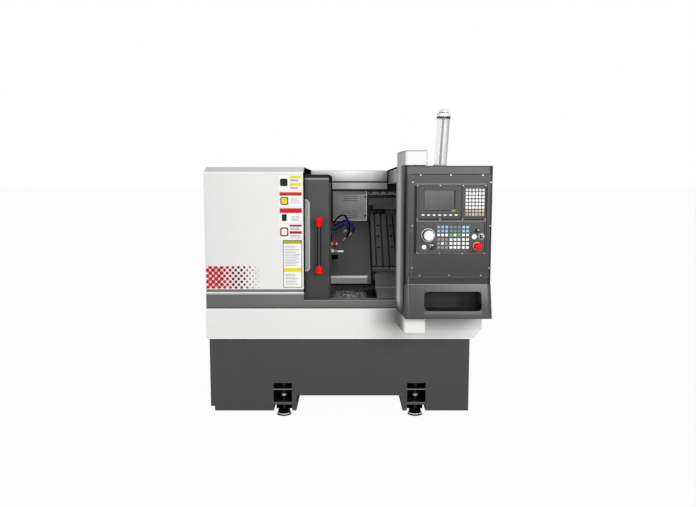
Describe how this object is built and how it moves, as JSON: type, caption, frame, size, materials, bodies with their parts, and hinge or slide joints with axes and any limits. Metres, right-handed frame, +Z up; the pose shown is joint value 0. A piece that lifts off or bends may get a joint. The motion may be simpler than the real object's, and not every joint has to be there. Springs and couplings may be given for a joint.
{
  "type": "turning lathe",
  "caption": "Slant-bed turning lathe with a sliding door, swinging control box, collet spindle, T-slotted cross slide and signal tower.",
  "frame": {"origin": "middle of the footprint, on the floor", "axes": "+X to the right of someone at the door, +Y to the back of the machine, +Z up"},
  "size_m": [1.718, 1.566, 1.9646],
  "materials": {
    "white_paint": "smooth satin coat",
    "wall_grey": "satin coat",
    "base_grey": "fine texture",
    "door_grey": "fine texture",
    "control_grey": "fine texture",
    "panel_grey": "satin",
    "unit_black": "satin",
    "screen": "smooth",
    "window_glass": "smooth",
    "seal": "matt",
    "hose_blue": "satin",
    "fitting_brass": "turned",
    "red": "glossy",
    "bright_steel": "polished",
    "ground_steel": "ground",
    "cover_steel": "brushed",
    "iron": "painted casting",
    "drive_grey": "satin",
    "pad_black": "moulded",
    "black_plastic": "satin",
    "silver_knob": "satin",
    "white_button": "glossy",
    "milk_glass": "frosted",
    "cabinet_paint": "satin coat"
  },
  "bodies": {
    "machine": {"base_cabinet": "base_grey", "levelling_pads": "pad_black", "levelling_bolts": "ground_steel", "apron": "white_paint", "sill_band": "base_grey", "left_cover": "white_paint", "right_cover": "white_paint", "rear_rail": "wall_grey", "back_panel": "white_paint", "bulkhead": "wall_grey", "louvre_plate": "wall_grey", "chip_tray": "cover_steel", "slant_bed": "iron", "z_guide_rails": "ground_steel", "headstock": "iron", "spindle_motor": "drive_grey", "drive_belt": "seal", "way_covers": "cover_steel", "coolant_fittings": "fitting_brass", "coolant_hoses": "hose_blue", "coolant_line": "seal", "control_column": "white_paint", "signal_base": "black_plastic", "signal_lens": "milk_glass", "signal_cap": "bright_steel", "electrical_cabinet": "cabinet_paint"},
    "door": {"door_panel": "door_grey", "door_window": "window_glass", "window_bead": "seal", "door_roof": "door_grey", "handle_rod": "door_grey", "handle_ends": "red"},
    "spindle_unit": {"spindle": "ground_steel", "chuck_ring": "bright_steel", "bar_stock": "bright_steel", "spindle_pulley": "ground_steel"},
    "motor_rotor": {"motor_pulley": "ground_steel"},
    "carriage": {"saddle": "iron", "x_drive": "drive_grey", "carriage_covers": "cover_steel"},
    "cross_table": {"cross_slide": "ground_steel", "table_bolts": "ground_steel"},
    "z_screw": {"z_ballscrew": "ground_steel"},
    "x_screw": {"x_ballscrew": "ground_steel"},
    "valve": {"valve_knob": "red"},
    "control": {"control_box": "control_grey", "panel_plate": "panel_grey", "panel_screws": "bright_steel", "cnc_unit": "unit_black", "cnc_screen": "screen", "operator_panel": "unit_black"},
    "estop": {"estop_cap": "red"},
    "wheel": {"handwheel": "white_button"},
    "mode_knob": {"mode_switch": "black_plastic"},
    "feed_knob": {"feed_switch": "silver_knob"},
    "key": {"key_switch": "black_plastic"},
    "start_push": {"start_button": "white_button"},
    "stop_push": {"stop_button": "white_button"},
    "cabinet_leaf": {"cabinet_door": "cabinet_paint"},
    "latch": {"cabinet_latch": "black_plastic"}
  },
  "joints": [
    {"name": "door_slide", "type": "slide", "parent": "machine", "child": "door", "axis": [1, 0, 0], "range_m": [0, 0.415]},
    {"name": "spindle_spin", "type": "hinge", "parent": "machine", "child": "spindle_unit", "pos_m": [-0.54, 0.0075, 1.026], "axis": [1, 0, 0], "continuous": true},
    {"name": "motor_spin", "type": "hinge", "parent": "machine", "child": "motor_rotor", "pos_m": [-0.544, 0.2725, 1.15], "axis": [1, 0, 0], "continuous": true},
    {"name": "carriage_slide", "type": "slide", "parent": "machine", "child": "carriage", "axis": [1, 0, 0], "range_m": [-0.035, 0.135]},
    {"name": "cross_slide_travel", "type": "slide", "parent": "carriage", "child": "cross_table", "axis": [0, -0.7986, -0.6018], "range_m": [-0.004, 0.1]},
    {"name": "z_screw_spin", "type": "hinge", "parent": "machine", "child": "z_screw", "pos_m": [0.3, 0.27837, 0.92227], "axis": [1, 0, 0], "range_deg": [-3040, 790]},
    {"name": "x_screw_spin", "type": "hinge", "parent": "carriage", "child": "x_screw", "pos_m": [0.2875, 0.2277, 1.03936], "axis": [0, 0.7986, 0.6018], "range_deg": [-92, 2252]},
    {"name": "valve_turn", "type": "hinge", "parent": "machine", "child": "valve", "pos_m": [-0.073, 0.0775, 1.071], "axis": [1, 0, 0], "range_deg": [0, 270]},
    {"name": "control_swing", "type": "hinge", "parent": "machine", "child": "control", "pos_m": [0.39, -0.6775, 1.2], "axis": [0, 0, -1], "range_deg": [0, 90]},
    {"name": "estop_push", "type": "slide", "parent": "control", "child": "estop", "axis": [0, 1, 0], "range_m": [0, 0.006]},
    {"name": "handwheel_spin", "type": "hinge", "parent": "control", "child": "wheel", "pos_m": [0.4825, -0.7305, 1.196], "axis": [0, -1, 0], "continuous": true},
    {"name": "mode_turn", "type": "hinge", "parent": "control", "child": "mode_knob", "pos_m": [0.5075, -0.7305, 1.13], "axis": [0, -1, 0], "range_deg": [-75, 75]},
    {"name": "feed_turn", "type": "hinge", "parent": "control", "child": "feed_knob", "pos_m": [0.7876, -0.7305, 1.188], "axis": [0, -1, 0], "range_deg": [-140, 140]},
    {"name": "key_turn", "type": "hinge", "parent": "control", "child": "key", "pos_m": [0.764, -0.7305, 1.222], "axis": [0, -1, 0], "range_deg": [0, 90]},
    {"name": "start_press", "type": "slide", "parent": "control", "child": "start_push", "axis": [0, 1, 0], "range_m": [0, 0.0025], "stiffness_N_per_m": 500},
    {"name": "stop_press", "type": "slide", "parent": "control", "child": "stop_push", "axis": [0, 1, 0], "range_m": [0, 0.0025], "stiffness_N_per_m": 500},
    {"name": "cabinet_door_swing", "type": "hinge", "parent": "machine", "child": "cabinet_leaf", "pos_m": [-0.607, 0.7365, 1.02], "axis": [0, 0, 1], "range_deg": [0, 110]},
    {"name": "latch_turn", "type": "hinge", "parent": "cabinet_leaf", "child": "latch", "pos_m": [0.44, 0.7455, 1.02], "axis": [0, 1, 0], "range_deg": [0, 90]}
  ],
  "couplings": [
    {"joint": "motor_spin", "follows": "spindle_spin", "ratio": 1.5652},
    {"joint": "z_screw_spin", "follows": "carriage_slide", "rad_per_m": -392.7},
    {"joint": "x_screw_spin", "follows": "cross_slide_travel", "rad_per_m": 392.7}
  ]
}
